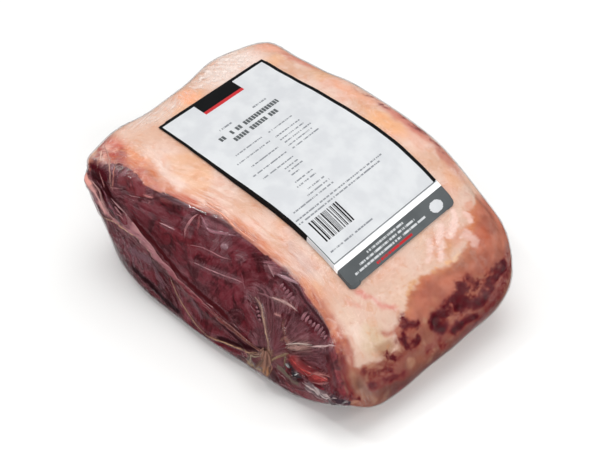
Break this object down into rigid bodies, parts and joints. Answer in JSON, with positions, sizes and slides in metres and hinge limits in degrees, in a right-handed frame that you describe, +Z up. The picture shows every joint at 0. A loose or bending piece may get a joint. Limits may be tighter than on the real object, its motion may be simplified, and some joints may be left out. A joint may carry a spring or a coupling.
{
  "type": "vacuum-packed roast beef joint",
  "caption": "Raw beef striploin roasting joint with a thick fat cap, sealed in tight clear shrink film with a paper label on top.",
  "frame": {"origin": "bottom centre of the pack's box, on the face it rests on", "axes": "+X along the joint towards the end that the fat wraps round, -Y towards the side that was cut through the lean, +Z up through the fat cap"},
  "size_m": [0.2692, 0.1936, 0.1057],
  "materials": {
    "shrink_film": "clear glossy shrink film, drawn tight and creased",
    "beef_meat": "moist dark red lean and cream fat",
    "label_paper": "coated label paper, satin, printed"
  },
  "bodies": {
    "root": {"vacuum_pack": "shrink_film", "label": "label_paper"}
  },
  "joints": []
}
